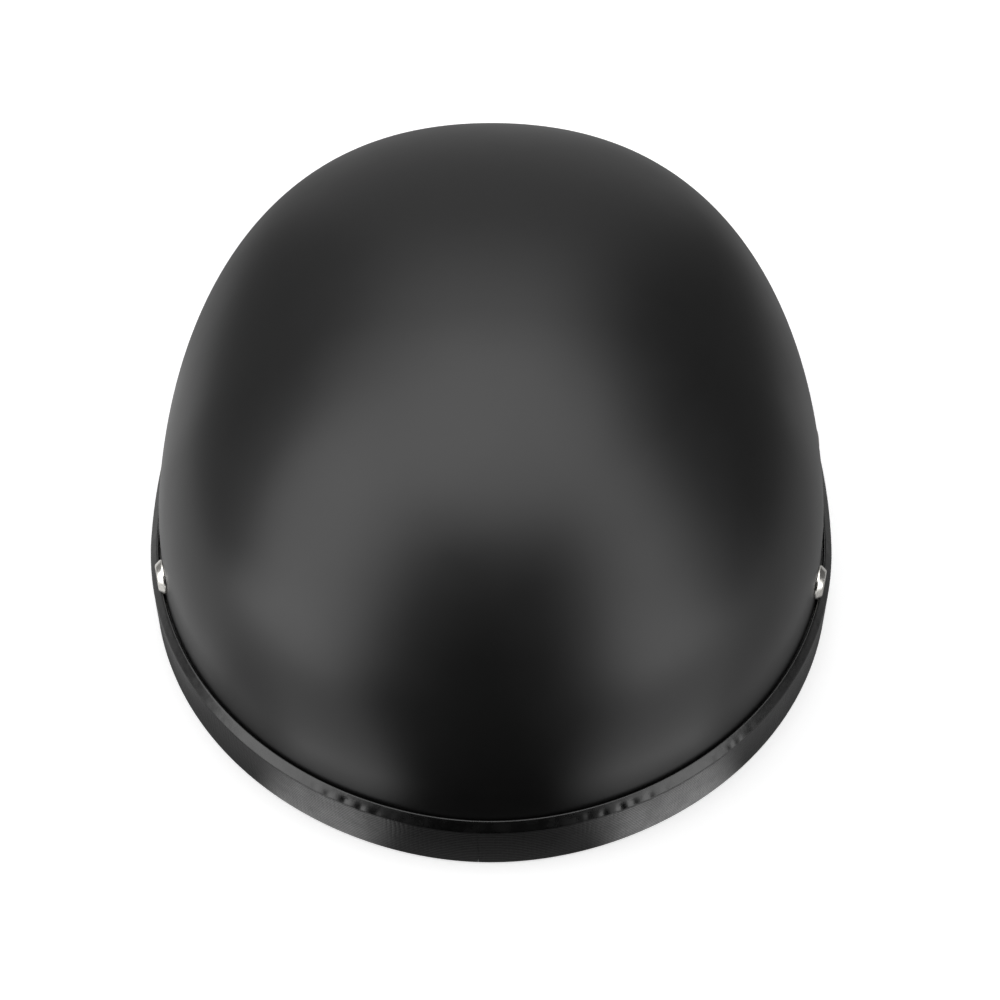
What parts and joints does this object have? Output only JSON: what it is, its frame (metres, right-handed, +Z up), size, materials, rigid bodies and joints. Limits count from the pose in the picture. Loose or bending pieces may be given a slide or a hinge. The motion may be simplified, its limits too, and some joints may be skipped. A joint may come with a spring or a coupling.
{
  "type": "half shell motorcycle helmet",
  "caption": "Half shell motorcycle helmet with a smooth domed shell, wrapped edge trim, foam liner, soft pads and a riveted chin strap with folding sides and D rings.",
  "frame": {"origin": "middle of the rim's underside, on the surface that the helmet stands on", "axes": "+Z up through the crown, the front faces -Y, the wearer's left is +X"},
  "size_m": [0.2362, 0.276, 0.142],
  "materials": {
    "shell_coat": "satin black coating",
    "trim_vinyl": "grained black vinyl",
    "liner_foam": "moulded black foam",
    "pad_cloth": "soft knitted cloth over foam",
    "rivet_nickel": "bright nickel plate",
    "washer_steel": "zinc plated",
    "webbing": "woven black webbing",
    "divider_plastic": "moulded black plastic",
    "ring_steel": "bright plated wire",
    "snap_metal": "plated snap"
  },
  "bodies": {
    "helmet": {"outer_shell": "shell_coat", "edge_trim": "trim_vinyl", "impact_liner": "liner_foam", "crown_pad": "pad_cloth", "brow_pad": "pad_cloth", "nape_pad": "pad_cloth", "left_side_pad": "pad_cloth", "right_side_pad": "pad_cloth", "front_left_rivet": "rivet_nickel", "front_left_washer": "washer_steel", "front_left_anchor_web": "webbing", "front_right_rivet": "rivet_nickel", "front_right_washer": "washer_steel", "front_right_anchor_web": "webbing", "rear_left_rivet": "rivet_nickel", "rear_left_washer": "washer_steel", "rear_left_anchor_web": "webbing", "rear_right_rivet": "rivet_nickel", "rear_right_washer": "washer_steel", "rear_right_anchor_web": "webbing"},
    "left_straps": {"left_front_leg": "webbing", "left_rear_leg": "webbing", "left_divider": "divider_plastic", "short_chin_strap": "webbing"},
    "right_straps": {"right_front_leg": "webbing", "right_rear_leg": "webbing", "right_divider": "divider_plastic", "long_chin_strap": "webbing", "snap_stud": "snap_metal", "snap_socket": "snap_metal", "snap_cap": "snap_metal"},
    "upper_ring": {"upper_d_ring": "ring_steel"},
    "lower_ring": {"lower_d_ring": "ring_steel"}
  },
  "joints": [
    {"name": "left_strap_fold", "type": "hinge", "parent": "helmet", "child": "left_straps", "pos_m": [0.1021, 0, 0.0068], "axis": [0, -1, 0], "range_deg": [0, 88]},
    {"name": "right_strap_fold", "type": "hinge", "parent": "helmet", "child": "right_straps", "pos_m": [-0.1021, 0, 0.0068], "axis": [0, 1, 0], "range_deg": [0, 86]},
    {"name": "upper_ring_swing", "type": "hinge", "parent": "left_straps", "child": "upper_ring", "pos_m": [0.00409, -0.00506, 0.0072], "axis": [0, 1, 0], "range_deg": [0, 150]},
    {"name": "lower_ring_swing", "type": "hinge", "parent": "left_straps", "child": "lower_ring", "pos_m": [0.00414, -0.00506, 0.0036], "axis": [0, -1, 0], "range_deg": [0, 150]}
  ]
}
